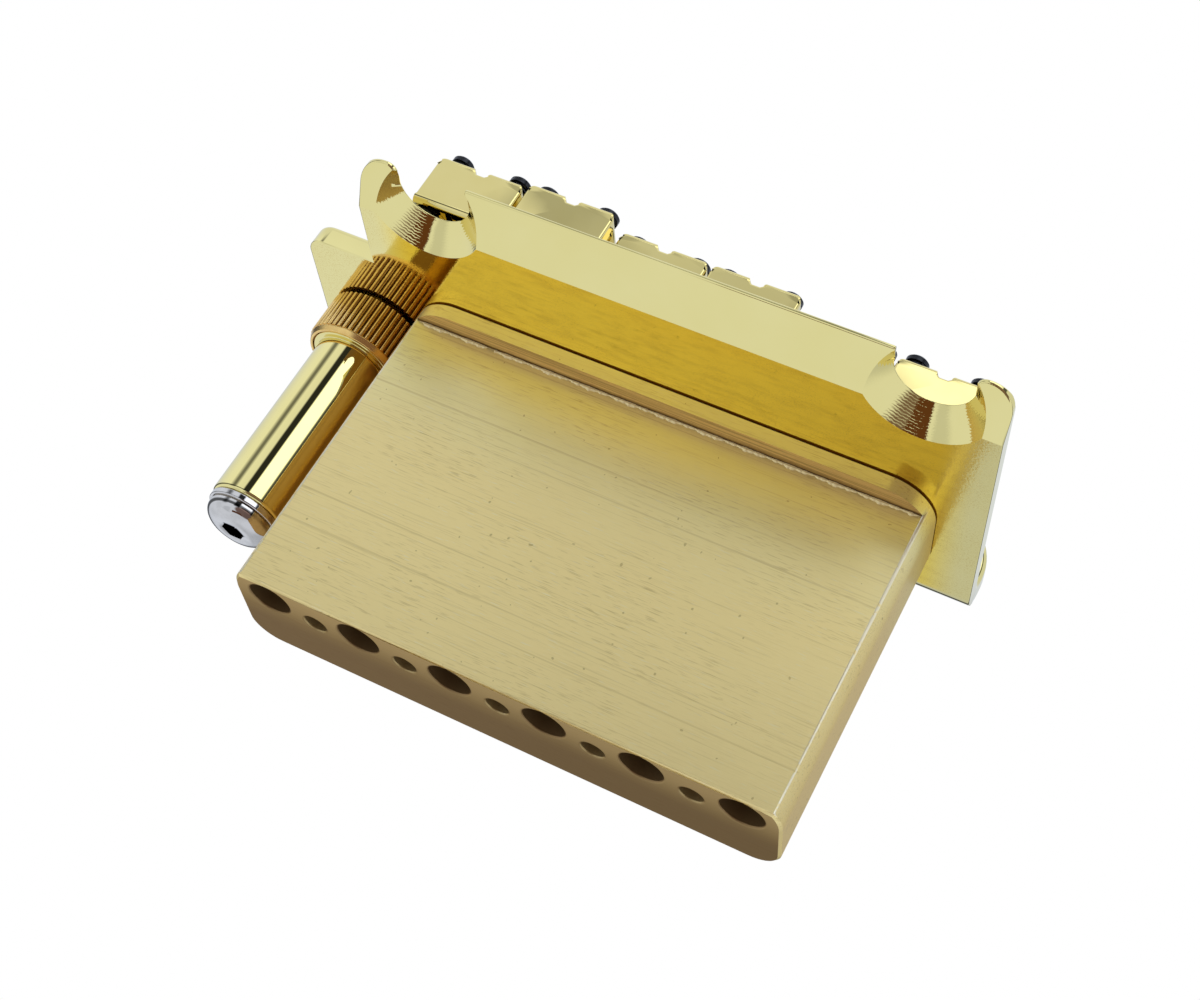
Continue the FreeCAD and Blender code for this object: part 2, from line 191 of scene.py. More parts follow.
# Polished gold plating; grainy under the plate, with turning marks in the post notches
goldLook = dict(
    bright=(0.82, 0.71, 0.31, 1), shade=(0.78, 0.66, 0.25, 1), cloud=(140, 3), polish=0.008,
    smear=(900, 3, (0.25, 1, 1), (0, 0, 0.5)), smearStep=(0.5, 0.8), smearRough=0.015, swell=(260, 1),
    swellBump=(0.04, 0.2 * mm), deep=(0.93, 0.68, 0.09, 1), blockReflectionReach=(30 * mm, 35 * mm),
    fleck=(0.50, 0.30, 0.04, 1), fleckStep=(0.50, 0.68), fleckShare=0.30, fleckRange=(0.4, 1.0),
    mottle=(1000, 3, (0.25, 1, 1)), mottleStep=(0.45, 0.68), mottleShare=0.20, pits=(230, 2),
    pitsStep=(0.40, 0.62), grain=(6000, 2), grainRough=0.02, roughRange=(0.6, 1.4), grainRange=(0.25, 1.0),
    grainBump=(0.08, 0.05 * mm), endReach=(22 * mm, 33 * mm), endRough=0.13, endGrain=(2800, 2),
    endBump=(0.30, 0.05 * mm), postX=28 * mm, ringPitch=0.22 * mm, ragged=(2600, 2), raggedReach=0.25 * mm,
    ringBump=(0.09, 0.02 * mm))


def goldFinish(name, look, marked):
    finish, tools = newFinish(name)
    cloud = tools.noise(*look["cloud"])
    colour = tools.mixColour(cloud, look["shade"], look["bright"])
    smear = tools.patches(look, "smear")
    roughness = look["polish"] + look["smearRough"] * smear
    normal = tools.bump(tools.noise(*look["swell"]), *look["swellBump"])
    if marked:
        right, along = tools.axes(tools.place())[:2]
        across = tools.math("ABSOLUTE", right)
        grainy = tools.mark("grainy")
        # Partly plating tone, partly painted reflection: the underside is drawn deeper gold across the span
        # where it mirrors the brass block
        deep = grainy * (1 - tools.step(across, *look["blockReflectionReach"]))
        colour = tools.mixColour(deep, colour, look["deep"])
        grain = tools.noise(*look["grain"])
        pitted = tools.patches(look, "pits")
        mottle = tools.patches(look, "mottle")
        flecks = look["fleckShare"] * tools.step(grain, *look["fleckStep"])
        flecks = flecks * tools.spread(pitted, *look["fleckRange"]) + look["mottleShare"] * mottle * deep
        colour = tools.mixColour(grainy * flecks, colour, look["fleck"])
        roughness = roughness + look["grainRough"] * grainy * tools.spread(cloud, *look["roughRange"])
        coarse = grainy * tools.step(right, *look["endReach"])  # duller towards the far end
        roughness = roughness + look["endRough"] * coarse
        depth = grain * grainy * tools.spread(pitted, *look["grainRange"])
        normal = tools.bump(depth, *look["grainBump"], normal)
        normal = tools.bump(tools.noise(*look["endGrain"]) * coarse, *look["endBump"], normal)
        away = across - look["postX"]
        reach = tools.math("SQRT", away * away + along * along)
        ragged = tools.noise(*look["ragged"]) * look["raggedReach"]
        rings = tools.math("SINE", (reach + ragged) * (2 * math.pi / look["ringPitch"]))
        normal = tools.bump(rings * tools.mark("turned"), *look["ringBump"], normal)
    tools.surface({"Base Color": colour, "Metallic": 1.0, "Roughness": roughness, "Normal": normal})
    return finish


plateGold = goldFinish("plateGold", goldLook, True)
saddleLook = dict(bright=(0.80, 0.67, 0.28, 1), shade=(0.75, 0.61, 0.22, 1), cloud=(260, 3))
saddleGold = goldFinish("saddleGold", dict(goldLook, **saddleLook), False)
tubeGold = goldFinish("tubeGold", dict(goldLook, polish=0.025), False)
screwGold = goldFinish("screwGold", dict(goldLook, polish=0.10), False)

# Bare brass, milled and brushed along the block; painted shade makes it browner below and dark in its bores
# and under the flange
brassLook = dict(
    beige=(1.0, 0.80, 0.345, 1), yellow=(1.0, 0.89, 0.43, 1), drift=(45, 3), driftReach=14 * mm,
    plateGlowReach=(-16 * mm, 0), scratch=(0.52, 0.37, 0.13, 1), patch=(150, 2, (0.4, 1, 1)),
    patchStep=(0.40, 0.62), fine=(7500, 2, (0.07, 1, 1)), fineShare=(0.08, 0.34),
    drawn=(5600, 2, (0.015, 1, 1)), drawnShare=0.22, markStep=(0.55, 0.70), shine=(0.96, 0.86, 0.56, 1),
    glint=(6000, 2, (0.09, 1, 1), (0, 0.3, 0)), glintStep=(0.60, 0.74), glintShare=0.5,
    line=(1300, 1, (0.003, 1, 1), (0, 0.012, 0)), lineStep=(0.68, 0.71), lineShare=0.26, speck=(1500, 1),
    speckStep=(0.77, 0.79), speckShare=0.6, front=(0.40, 0.26, 0.105, 1), back=(0.11, 0.05, 0.015, 1),
    shadeBackDrift=3 * mm, shadeBackReach=(19 * mm, 27 * mm), shadeBelowShare=0.9, inner=(0.66, 0.38, 0.11, 1),
    edge=(1.0, 0.90, 0.62, 1), worn=(1800, 2), wornStep=(0.30, 0.45), ledge=(0.80, 0.54, 0.22, 1),
    dark=(0.16, 0.09, 0.03, 1), streak=(4500, 2, (0.01, 1, 1)), streakStep=(0.45, 0.6), streakShare=0.40,
    streakReach=0.4 * mm, ledgeReach=(16.9 * mm, 17.6 * mm), bored=(0.26, 0.16, 0.065, 1),
    burr=(0.98, 0.80, 0.40, 1), burrDull=0.7, rough=0.26, fineRough=0.12, driftRough=0.06, glintLift=0.5,
    fineBump=(0.12, 0.04 * mm), lineBump=(0.15, -0.03 * mm), metal=0.68, graze=(0.57, 0.41, 0.24, 1))


def brassFinish(name, look):
    finish, tools = newFinish(name)
    y, z = tools.axes(tools.place())[1:]
    drift = tools.noise(*look["drift"])
    # Painted light: the block is drawn lighter and yellower towards the gold plate
    high = tools.step(z + look["driftReach"] * drift, *look["plateGlowReach"])  # yellower towards the plate
    patch = tools.patches(look, "patch")
    fine = tools.noise(*look["fine"])
    scratches = tools.step(fine, *look["markStep"]) * tools.spread(patch, *look["fineShare"])
    drawn = tools.noise(*look["drawn"])
    scratches = scratches + look["drawnShare"] * tools.step(drawn, *look["markStep"])
    glint = tools.noise(*look["glint"])
    line = tools.noise(*look["line"])
    speck = tools.patches(look, "speck")
    # Painted shade: faces that look down are drawn browner, and darker towards the back
    behind = tools.step(y + look["shadeBackDrift"] * drift, *look["shadeBackReach"])
    bottom = tools.mixColour(behind, look["front"], look["back"])
    # Painted highlight: the front corner edges are drawn pale, broken in patches
    worn = tools.patches(look, "worn")
    streak = tools.noise(*look["streak"])
    # Painted shade under the flange, darkest in the corner behind it
    inside = tools.step(y + look["streakReach"] * streak, *look["ledgeReach"])
    shade = tools.mixColour(inside, look["ledge"], look["dark"])
    streaks = look["streakShare"] * tools.step(streak, *look["streakStep"])
    shade = tools.mixColour(streaks, shade, look["dark"])
    burr = tools.mark("burred")
    layers = ((scratches, look["scratch"]),
              (look["glintShare"] * tools.step(glint, *look["glintStep"]), look["shine"]),
              (look["lineShare"] * tools.step(line, *look["lineStep"]), look["scratch"]),
              (look["speckShare"] * speck, look["scratch"]),
              (look["shadeBelowShare"] * tools.mark("lower"), bottom),
              (tools.mark("inner"), look["inner"]),
              (tools.mark("edge") * worn, look["edge"]),
              (tools.mark("ledge"), shade),
              (tools.mark("bored"), look["bored"]),
              (tools.mark("seam"), look["dark"]),
              (burr, look["burr"]))
    colour = tools.mixColour(high, look["beige"], look["yellow"])
    for factor, paint in layers:
        colour = tools.mixColour(factor, colour, paint)
    roughness = look["rough"] + look["fineRough"] * fine + look["driftRough"] * drift
    normal = tools.bump(fine + look["glintLift"] * glint, *look["fineBump"])
    normal = tools.bump(line, *look["lineBump"], normal)
    metallic = look["metal"] * (1 - look["burrDull"] * burr)
    tools.surface({"Base Color": colour, "Metallic": metallic, "Roughness": roughness,
                   "Specular Tint": look["graze"], "Normal": normal})
    return finish


blockBrass = brassFinish("blockBrass", brassLook)

# Satin brass of the knurled ring, with painted shade between its ribs
ringLook = dict(
    bright=(0.88, 0.59, 0.20, 1), worn=(0.58, 0.33, 0.09, 1), groove=(0.20, 0.10, 0.025, 1), wear=(500, 3),
    wearStep=(0.42, 0.7), wearShare=0.5, axis=(-37.7 * mm, 24.9 * mm), grooveReach=(5.72 * mm, 5.95 * mm),
    fine=(4200, 2, (1, 1, 0.05)), rough=0.20, fineRough=0.08, fineBump=(0.03, 0.03 * mm))


def ringFinish(name, look):
    finish, tools = newFinish(name)
    wear = tools.patches(look, "wear")
    colour = tools.mixColour(look["wearShare"] * wear, look["bright"], look["worn"])
    across, along = (spot - centre for spot, centre in zip(tools.axes(tools.place()), look["axis"]))
    reach = tools.math("SQRT", across * across + along * along)
    # Painted shade: the core between the ribs is drawn dark
    depth = tools.mark("knurled") * (1 - tools.step(reach, *look["grooveReach"]))
    colour = tools.mixColour(depth, colour, look["groove"])
    fine = tools.noise(*look["fine"])
    roughness = look["rough"] + look["fineRough"] * fine
    normal = tools.bump(fine, *look["fineBump"])
    tools.surface({"Base Color": colour, "Metallic": 1.0, "Roughness": roughness, "Normal": normal})
    return finish


ringBrass = ringFinish("ringBrass", ringLook)

# Bright steel of the socket's end, spring wire, black screws and the bush
hardLook = dict(
    wear=(700, 3), wearStep=(0.35, 0.7), roughRange=(0.6, 1.4), recess=(0.02, 0.02, 0.02, 1),
    fine=(5200, 2), fineBump=(0.06, 0.02 * mm))
steelLook = dict(hardLook, bright=(0.62, 0.585, 0.54, 1), dull=(0.53, 0.50, 0.46, 1), rough=0.06)
wireLook = dict(hardLook, bright=(0.62, 0.62, 0.60, 1), dull=(0.40, 0.40, 0.39, 1), rough=0.22)
blackLook = dict(hardLook, bright=(0.020, 0.020, 0.022, 1), dull=(0.010, 0.010, 0.011, 1), rough=0.28)


def hardFinish(name, look, metallic):
    finish, tools = newFinish(name)
    wear = tools.noise(*look["wear"])
    colour = tools.mixColour(tools.step(wear, *look["wearStep"]), look["bright"], look["dull"])
    # Painted shade: faces marked as a recess are drawn near black
    colour = tools.mixColour(tools.mark("recess"), colour, look["recess"])
    tools.surface({"Base Color": colour, "Metallic": metallic,
                   "Roughness": look["rough"] * tools.spread(wear, *look["roughRange"]),
                   "Normal": tools.bump(tools.noise(*look["fine"]), *look["fineBump"])})
    return finish


endSteel = hardFinish("endSteel", steelLook, 1.0)
springSteel = hardFinish("springSteel", wireLook, 1.0)
blackOxide = hardFinish("blackOxide", blackLook, 0.6)
bushPlastic = hardFinish("bushPlastic", dict(blackLook, rough=0.42), 0.0)
print("finishes made")


def finishMesh(mesh, angle=crease):
    mesh.shade_smooth()
    mesh.set_sharp_from_angle(angle=math.radians(angle))


def newPiece(name, mesh, finish):
    piece = bpy.data.objects.new(name, mesh)
    scene.collection.objects.link(piece)
    mesh.materials.clear()
    mesh.materials.append(finish)
    return piece


def addPiece(name, mesh, finish, body, node):
    piece = newPiece(name, mesh, finish)
    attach(piece, body)
    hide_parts(node)


# One number on each face for a finish to read; all are made before any is filled
def newMarks(mesh, *names):
    for name in names:
        mesh.attributes.new(name, "FLOAT", "FACE")
    return [mesh.attributes[name].data for name in names]


easing = dict(
    merge=0.0004 * mm, slack=0.01 * mm, shortest=0.5, leastAngle=34, mostAngle=112, coneSlack=0.12,
    smooth=math.radians(36), sameWay=0.999)


# The post notches are cones of 45 degrees that open downwards
def facesCone(normal, slack=0.1):
    return abs(normal.z + math.sqrt(0.5)) < slack


def liesAt(edge, height):
    return all(abs(end.co.z - height) < easing["slack"] for end in edge.verts)


# Square edges between two faces are broken; knife edges, cone edges and short scraps stay as cut
def isSquareEdge(edge, least):
    if len(edge.link_faces) != 2 or edge.calc_length() < least:
        return False
    angle = math.degrees(edge.calc_face_angle(0))
    onCone = any(facesCone(face.normal, easing["coneSlack"]) for face in edge.link_faces)
    return edge.is_convex and easing["leastAngle"] < angle < easing["mostAngle"] and not onCone


# A copy of a CAD node, its triangles merged and its square edges broken: crisp is the normal of a face that
# keeps a hard border, edges at height spared stay as milled, blunt takes the knife edge off the notches'
# rims, and reshape moves points beforehand
def easedMesh(node, edge, segments=2, crisp=None, spared=None, blunt=False, reshape=None):
    shape = bmesh.new()
    shape.from_mesh(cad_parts[node].data)
    bmesh.ops.remove_doubles(shape, verts=shape.verts, dist=easing["merge"])
    bmesh.ops.dissolve_degenerate(shape, dist=easing["merge"], edges=shape.edges)
    if reshape:
        reshape(shape, node)
    weights = shape.edges.layers.float.new("bevel_weight_edge")
    for side in shape.edges:
        paired = len(side.link_faces) == 2
        square = isSquareEdge(side, easing["shortest"] * edge)
        if spared is not None and liesAt(side, spared):
            square = False
        if blunt and paired and liesAt(side, 0):
            square = square or any(facesCone(face.normal) for face in side.link_faces)
        side[weights] = float(square)
        side.smooth = side.calc_face_angle(0) < easing["smooth"]
        if crisp and paired:
            onFace = [face.normal.dot(crisp) > easing["sameWay"] for face in side.link_faces]
            side.smooth = side.smooth and onFace[0] == onFace[1]
    for face in shape.faces:
        face.smooth = True
    mesh = bpy.data.meshes.new(node + "Eased")
    shape.to_mesh(mesh)
    shape.free()
    carrier = bpy.data.objects.new(node + "Carrier", mesh)
    scene.collection.objects.link(carrier)
    ease = carrier.modifiers.new("ease", "BEVEL")
    ease.limit_method = "WEIGHT"
    ease.width = edge
    ease.segments = segments
    ease.use_clamp_overlap = False
    ease.loop_slide = False
    level = carrier.modifiers.new("level", "WEIGHTED_NORMAL")
    level.keep_sharp = True
    level.weight = 100
    graph = bpy.context.evaluated_depsgraph_get()
    eased = bpy.data.meshes.new_from_object(carrier.evaluated_get(graph))
    bpy.data.objects.remove(carrier)
    bpy.data.meshes.remove(mesh)
    return eased


# Rings of points turned about an axis: (radius, height) or (across flats, height, "hex")
def turnedMesh(name, rings, segments, closed=False):
    shape = bmesh.new()
    loops = []
    for ring in rings:
        if ring[0] == 0:
            loops.append([shape.verts.new((0, 0, ring[1]))])
            continue
        loop = []
        for i in range(segments):
            angle = 2 * math.pi * i / segments
            radius = ring[0]
            if len(ring) > 2:
                radius = ring[0] / 2 / math.cos(angle % (math.pi / 3) - math.pi / 6)
            loop.append(shape.verts.new((radius * math.cos(angle), radius * math.sin(angle), ring[1])))
        loops.append(loop)
    pairs = list(zip(loops, loops[1:]))
    if closed:
        pairs.append((loops[-1], loops[0]))
    for low, high in pairs:
        for i in range(segments):
            j = (i + 1) % segments
            if len(low) == 1:
                shape.faces.new((low[0], high[j], high[i]))
            elif len(high) == 1:
                shape.faces.new((low[i], low[j], high[0]))
            else:
                shape.faces.new((low[i], low[j], high[j], high[i]))
    bmesh.ops.recalc_face_normals(shape, faces=shape.faces)
    mesh = bpy.data.meshes.new(name)
    shape.to_mesh(mesh)
    shape.free()
    finishMesh(mesh)
    return mesh


# Rounds each corner of a (radius, height) profile in mm that has a third number, its own radius
def easedProfile(corners, steps=4, closed=False):
    points = []
    count = len(corners)
    margin = 0.02  # one more point beside each arc keeps the shading of the straight run level
    for i, corner in enumerate(corners):
        here = Vector(corner[:2])
        if len(corner) < 3 or (not closed and i in (0, count - 1)):
            points.append(tuple(here))
            continue
        back = (Vector(corners[i - 1][:2]) - here).normalized()
        ahead = (Vector(corners[(i + 1) % count][:2]) - here).normalized()
        half = back.angle(ahead) / 2
        reach = corner[2] / math.tan(half)
        middle = here + (back + ahead).normalized() * (corner[2] / math.sin(half))
        start = (here + back * reach - middle).normalized()
        end = (here + ahead * reach - middle).normalized()
        points.append(tuple(here + back * (reach + margin)))
        for k in range(steps + 1):
            points.append(tuple(middle + start.slerp(end, k / steps) * corner[2]))
        points.append(tuple(here + ahead * (reach + margin)))
    return points


def inMetres(points):
    return [(p[0] * mm, p[1] * mm, *p[2:]) for p in points]


# The head of every geometry tree: the blank comes in first and the finish last
def geometryTree(name, numbers, **others):
    tree = bpy.data.node_groups.new(name, "GeometryNodeTree")
    inputs = {**dict.fromkeys(numbers, "Float"), **others}
    sockets = {"Geometry": "Geometry", **inputs, "Material": "Material"}
    for label, kind in sockets.items():
        tree.interface.new_socket(label, in_out="INPUT", socket_type="NodeSocket" + kind)
    tree.interface.new_socket("Geometry", in_out="OUTPUT", socket_type="NodeSocketGeometry")
    tools = NodeTools(tree)
    tools.entry = tools.node("NodeGroupInput")
    return tools, {label: Num(tools, tools.entry.outputs[label]) for label in inputs}


# A round wire drawn along a curve
def drawWire(tools, curve, sides, radius):
    size = {"Resolution": sides, "Radius": radius}
    ring = tools.node("GeometryNodeCurvePrimitiveCircle", size, mode="RADIUS")
    return tools.node("GeometryNodeCurveToMesh", {"Curve": curve, "Profile Curve": ring, "Fill Caps": True})


# What was made is raised along the axis and joined to the blank
def joinBlank(tools, geometry, height):
    lift = tools.node("ShaderNodeCombineXYZ", {2: height})
    raised = tools.node("GeometryNodeTransform", {"Geometry": geometry, "Translation": lift})
    joined = tools.node("GeometryNodeJoinGeometry", {0: tools.entry})
    tools.tree.links.new(raised.outputs[0], joined.inputs[0])
    return joined


# The tail of every geometry tree: plain mesh with its finish on
def closeTree(tools, geometry):
    whole = tools.node("GeometryNodeRealizeInstances", {0: geometry})
    finish = tools.entry.outputs["Material"]
    coated = tools.node("GeometryNodeSetMaterial", {"Geometry": whole, "Material": finish})
    tools.node("NodeGroupOutput", {0: coated})
    return tools.tree


def grow(mesh, tree, values, angle=crease):
    carrier = bpy.data.objects.new(tree.name + "Carrier", mesh)
    scene.collection.objects.link(carrier)
    grown = carrier.modifiers.new(tree.name, "NODES")
    grown.node_group = tree
    for item in tree.interface.items_tree:
        if item.in_out == "INPUT" and item.name in values:
            grown[item.identifier] = values[item.name]
    graph = bpy.context.evaluated_depsgraph_get()
    result = bpy.data.meshes.new_from_object(carrier.evaluated_get(graph))
    carrier.modifiers.remove(grown)
    bpy.data.objects.remove(carrier)
    finishMesh(result, angle)
    return result


fineness = dict(threadSteps=20, crestSides=5, coilSteps=40, wireSides=12, ribSides=12)


# A screw: the turned blank comes in, the thread winds round it, and the whole is laid in place
def threadTree():
    numbers = ("Radius", "Depth", "Pitch", "Start", "Length")
    tools, values = geometryTree("cutThread", numbers, Place="Vector", Turn="Rotation")
    core, length = values["Radius"] - values["Depth"], values["Length"]
    helix = tools.node("GeometryNodeCurveSpiral",
                       {"Resolution": fineness["threadSteps"], "Rotations": length / values["Pitch"],
                        "Start Radius": core, "End Radius": core, "Height": length})
    wound = drawWire(tools, helix, fineness["crestSides"], values["Depth"])
    joined = joinBlank(tools, wound, values["Start"])
    laid = tools.node("GeometryNodeTransform",
                      {"Geometry": joined, "Translation": values["Place"], "Rotation": values["Turn"]})
    return closeTree(tools, laid)


# A wound spring whose turns draw together at both ends
def coilTree():
    numbers = ("Radius", "Wire", "Length", "Draw")
    tools, values = geometryTree("windCoil", numbers, Turns="Int", Place="Vector")
    line = tools.node("GeometryNodeCurvePrimitiveLine")
    count = values["Turns"] * fineness["coilSteps"] + 1
    points = tools.node("GeometryNodeResampleCurve", {"Curve": line, "Count": count})
    part = tools.num("GeometryNodeSplineParameter")
    angle = part * values["Turns"] * (2 * math.pi)
    ease = tools.math("SINE", part * (2 * math.pi)) * values["Draw"] / (2 * math.pi)
    spot = tools.node("ShaderNodeCombineXYZ",
                      {0: tools.math("COSINE", angle) * values["Radius"], 1: (part - ease) * values["Length"],
                       2: tools.math("SINE", angle) * values["Radius"]})
    moved = tools.node("ShaderNodeVectorMath", {0: spot, 1: values["Place"]}, operation="ADD")
    placed = tools.node("GeometryNodeSetPosition", {"Geometry": points, "Position": moved})
    return closeTree(tools, drawWire(tools, placed, fineness["wireSides"], values["Wire"]))


# Straight ribs set round the ring's blank
def ribTree():
    numbers = ("Radius", "Rib", "Height", "Lift")
    tools, values = geometryTree("cutRibs", numbers, Count="Int", Place="Vector")
    circle = tools.node("GeometryNodeMeshCircle", {"Vertices": values["Count"], "Radius": values["Radius"]})
    bar = tools.node("GeometryNodeMeshCylinder",
                     {"Vertices": fineness["ribSides"], "Side Segments": 1, "Radius": values["Rib"],
                      "Depth": values["Height"]})
    index = tools.num("GeometryNodeInputIndex")
    spin = tools.node("ShaderNodeCombineXYZ", {2: index * (2 * math.pi) / values["Count"]})
    ribs = tools.node("GeometryNodeInstanceOnPoints", {"Points": circle, "Instance": bar, "Rotation": spin})
    joined = joinBlank(tools, ribs, values["Lift"])
    laid = tools.node("GeometryNodeTransform", {"Geometry": joined, "Translation": values["Place"]})
    return closeTree(tools, laid)


cutThread, windCoil, cutRibs = threadTree(), coilTree(), ribTree()

# The plate keeps a mark on each face for its grainy underside and its turned notches
plateLook = dict(
    edge=0.14 * mm, bevelNormal=(0, -2.4, -5.6), postX=28 * mm, coneReach=7.6 * mm, grainBelow=-2.7 * mm,
    flat=0.985)


def dressPlate(look):
    bevel = Vector(look["bevelNormal"]).normalized()
    mesh = easedMesh("base_plate", look["edge"], crisp=bevel, blunt=True)
    grainy, turned = newMarks(mesh, "grainy", "turned")
    for face in mesh.polygons:
        below = face.normal.z < -look["flat"] and face.center.z < look["grainBelow"]
        grainy[face.index].value = float(below)
        away = math.hypot(abs(face.center.x) - look["postX"], face.center.y)
        turned[face.index].value = float(facesCone(face.normal) and away < look["coneReach"])
    addPiece("bridgePlate", mesh, plateGold, "bridge", "base_plate")


dressPlate(plateLook)

# The block's marks: faces that look down, its ledge, bores, seam along the plate and inner end, which its
# finish paints in shade; its front edges, which it paints pale as a highlight; and the burr under its flange
blockLook = dict(
    edge=0.2 * mm, ledgeZ=-4.7 * mm, ledgeSlack=0.05 * mm, frontY=17.5 * mm, stringY=20.25 * mm,
    springY=21.35 * mm, pitch=10.8 * mm, stringShift=0.5, springShift=0.0, stringReach=2.5 * mm,
    springReach=1.4 * mm, springShade=0.78, square=0.9, wall=0.5, seamTilt=(0.1, 0.95), edgeTilt=0.12,
    burrSteps=260, burrProud=0.20 * mm, burrWidth=0.46 * mm, burrInset=0.3 * mm, burrDrop=0.04 * mm,
    burrSunk=0.05 * mm, burrKnee=0.6, burrTail=1.3, burrTip=0.05, burrMean=0.62,
    burrWaves=((0.16, 1.3, 0), (0.12, 3.7, 1), (0.10, 9.1, 2)),
    nickX=-20.6 * mm, nickReach=0.5 * mm, nickSize=0.15)


def nearRow(point, look, row):
    column = (point.x / look["pitch"] + look[row + "Shift"]) % 1.0
    column = min(column, 1.0 - column) * look["pitch"]
    return math.hypot(column, point.y - look[row + "Y"]) < look[row + "Reach"]


# A ragged bead in the corner under the flange, thinner at its ends and broken by a nick
def addBurr(mesh, look):
    shape = bmesh.new()
    shape.from_mesh(mesh)
    firstBurr = len(shape.faces)
    onFront = [v.co.x for v in shape.verts if abs(v.co.y - look["frontY"]) < easing["slack"]]
    first, last = min(onFront) + look["burrInset"], max(onFront) - look["burrInset"]
    y, z = look["frontY"], look["ledgeZ"] - look["burrDrop"]
    sunk = y + look["burrSunk"]
    rows = []
    for i in range(look["burrSteps"] + 1):
        x = first + (last - first) * i / look["burrSteps"]
        waves = (high * math.sin(rate * x / mm + shift) for high, rate, shift in look["burrWaves"])
        taper = min(1.0, (x - first) / mm, (last - x) / mm) + look["burrTip"]
        size = (look["burrMean"] + sum(waves)) * min(1.0, taper)
        if abs(x - look["nickX"]) < look["nickReach"]:
            size *= look["nickSize"]
        front, wide = y - size * look["burrProud"], size * look["burrWidth"]
        knee, tail = z - look["burrKnee"] * wide, z - look["burrTail"] * wide
        spots = ((sunk, z), (front, z), (front, knee), (sunk, tail))
        rows.append([shape.verts.new((x, *spot)) for spot in spots])
    bead = [shape.faces.new(rows[0]), shape.faces.new(rows[-1])]
    for near, far in zip(rows, rows[1:]):
        for i in range(4):
            j = (i + 1) % 4
            bead.append(shape.faces.new((near[i], near[j], far[j], far[i])))
    bmesh.ops.recalc_face_normals(shape, faces=bead)
    shape.to_mesh(mesh)
    shape.free()
    return firstBurr


def dressBlock(look):
    mesh = easedMesh("sustain_block", look["edge"], spared=look["ledgeZ"])
    firstBurr = addBurr(mesh, look)
    marks = ("lower", "ledge", "bored", "seam", "inner", "edge", "burred")
    lower, ledge, bored, seam, inner, edge, burred = newMarks(mesh, *marks)
    for face in mesh.polygons:
        i, spot, normal = face.index, face.center, face.normal
        if i >= firstBurr:
            burred[i].value = 1.0
            continue
        inString, inSpring = nearRow(spot, look, "string"), nearRow(spot, look, "spring")
        # Painted shade: bore walls are drawn dark, the spring bores a little less
        if abs(normal.z) < look["wall"] and (inString or inSpring):
            bored[i].value = 1.0 if inString else look["springShade"]
        looksDown = normal.z < -look["square"]
        # Faces that look down, which the finish paints browner as shade
        lower[i].value = float(looksDown)
        # The flange's underside, which the finish paints in shade
        onLedge = looksDown and abs(spot.z - look["ledgeZ"]) < look["ledgeSlack"]
        ledge[i].value = float(onLedge and spot.y < look["frontY"])
        # Painted shade: the tilted faces along the plate are drawn dark
        tilted = look["seamTilt"][0] < abs(normal.z) < look["seamTilt"][1]
        seam[i].value = float(tilted and spot.z > look["ledgeZ"])
        # Painted shade: the inner end is drawn darker and more orange
        inner[i].value = float(normal.x < -look["square"] and not (inString or inSpring))
        # Front corner edges below the flange, which the finish paints pale as a highlight
        corner = min(abs(normal.x), abs(normal.y)) > look["edgeTilt"] and spot.z < look["ledgeZ"]
        edge[i].value = float(corner and spot.y < look["frontY"] + look["edge"])
    addPiece("brassBlock", mesh, blockBrass, "bridge", "sustain_block")


dressBlock(blockLook)
print("plate and block dressed")

saddleShape = dict(
    edge=0.28 * mm, segments=3, grooveDepth=1.2 * mm, grooveLift=0.42 * mm, grooveFloor=0.45 * mm,
    floorSlack=0.02 * mm, depthSlack=0.05 * mm, grooveReach=1.3 * mm, grooveBack=7.1 * mm,
    grooveFoot=0.9 * mm, grooveSpread=1.5)


# The string's groove, worn wide and shallow over the crest
def wearGroove(shape, node, look=saddleShape):
    low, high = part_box(node)
    middle = (low.x + high.x) / 2
    floor = look["grooveFloor"]
    for v in shape.verts:
        away = abs(v.co.x - middle)
        behind, beneath = v.co.y > low.y + look["grooveBack"], v.co.z < low.z + look["grooveFoot"]
        if away > look["grooveReach"] or behind or beneath:
            continue
        sunk = abs(high.z - v.co.z - look["grooveDepth"]) < look["depthSlack"]
        if away < floor + look["floorSlack"] and sunk:
            v.co.z += look["grooveLift"]
        if away > floor:
            wider = floor + (away - floor) * look["grooveSpread"]
            v.co.x = middle + math.copysign(wider, v.co.x - middle)


for n in strings:
    node = f"saddle_{n}"
    body = easedMesh(node, saddleShape["edge"], saddleShape["segments"], reshape=wearGroove)
    addPiece(f"saddleBody{n}", body, saddleGold, node, node)
print("saddles dressed")


# A hexagon socket sunk from a screw's face: its round mouth, its flats and the drilled floor
def hexSocket(look, face, way=-1):
    floor = face + way * look["hexDepth"]
    return [(look["hex"] * look["mouth"], face), (look["hex"], face + way * look["hexEdge"], "hex"),
            (look["hex"], floor, "hex"), (0, floor + way * look["drill"])]


# A screw's blank with its thread, laid in place
def threaded(rings, look, length, place, finish, turn=(0, 0, 0)):
    return grow(turnedMesh("screwBlank", inMetres(rings), segments=48), cutThread,
                {"Radius": look["radius"] * mm, "Depth": look["thread"] * mm, "Pitch": look["pitch"] * mm,
                 "Start": look["start"] * mm, "Length": length * mm, "Place": place, "Turn": turn,
                 "Material": finish})


def joinedMesh(name, meshes):
    whole = bmesh.new()
    for mesh in meshes:
        whole.from_mesh(mesh)
    joined = bpy.data.meshes.new(name)
    whole.to_mesh(joined)
    whole.free()
    finishMesh(joined)
    return joined


# Set screws: hexagon socket above, short point below
setScrewLook = dict(
    radius=1.3, point=0.4, collar=0.7, collarFoot=0.75, edge=0.18, hex=1.5, mouth=0.62, hexEdge=0.08,
    hexDepth=1.5, drill=0.2, thread=0.13, pitch=0.45, start=0.5, bare=1.3)


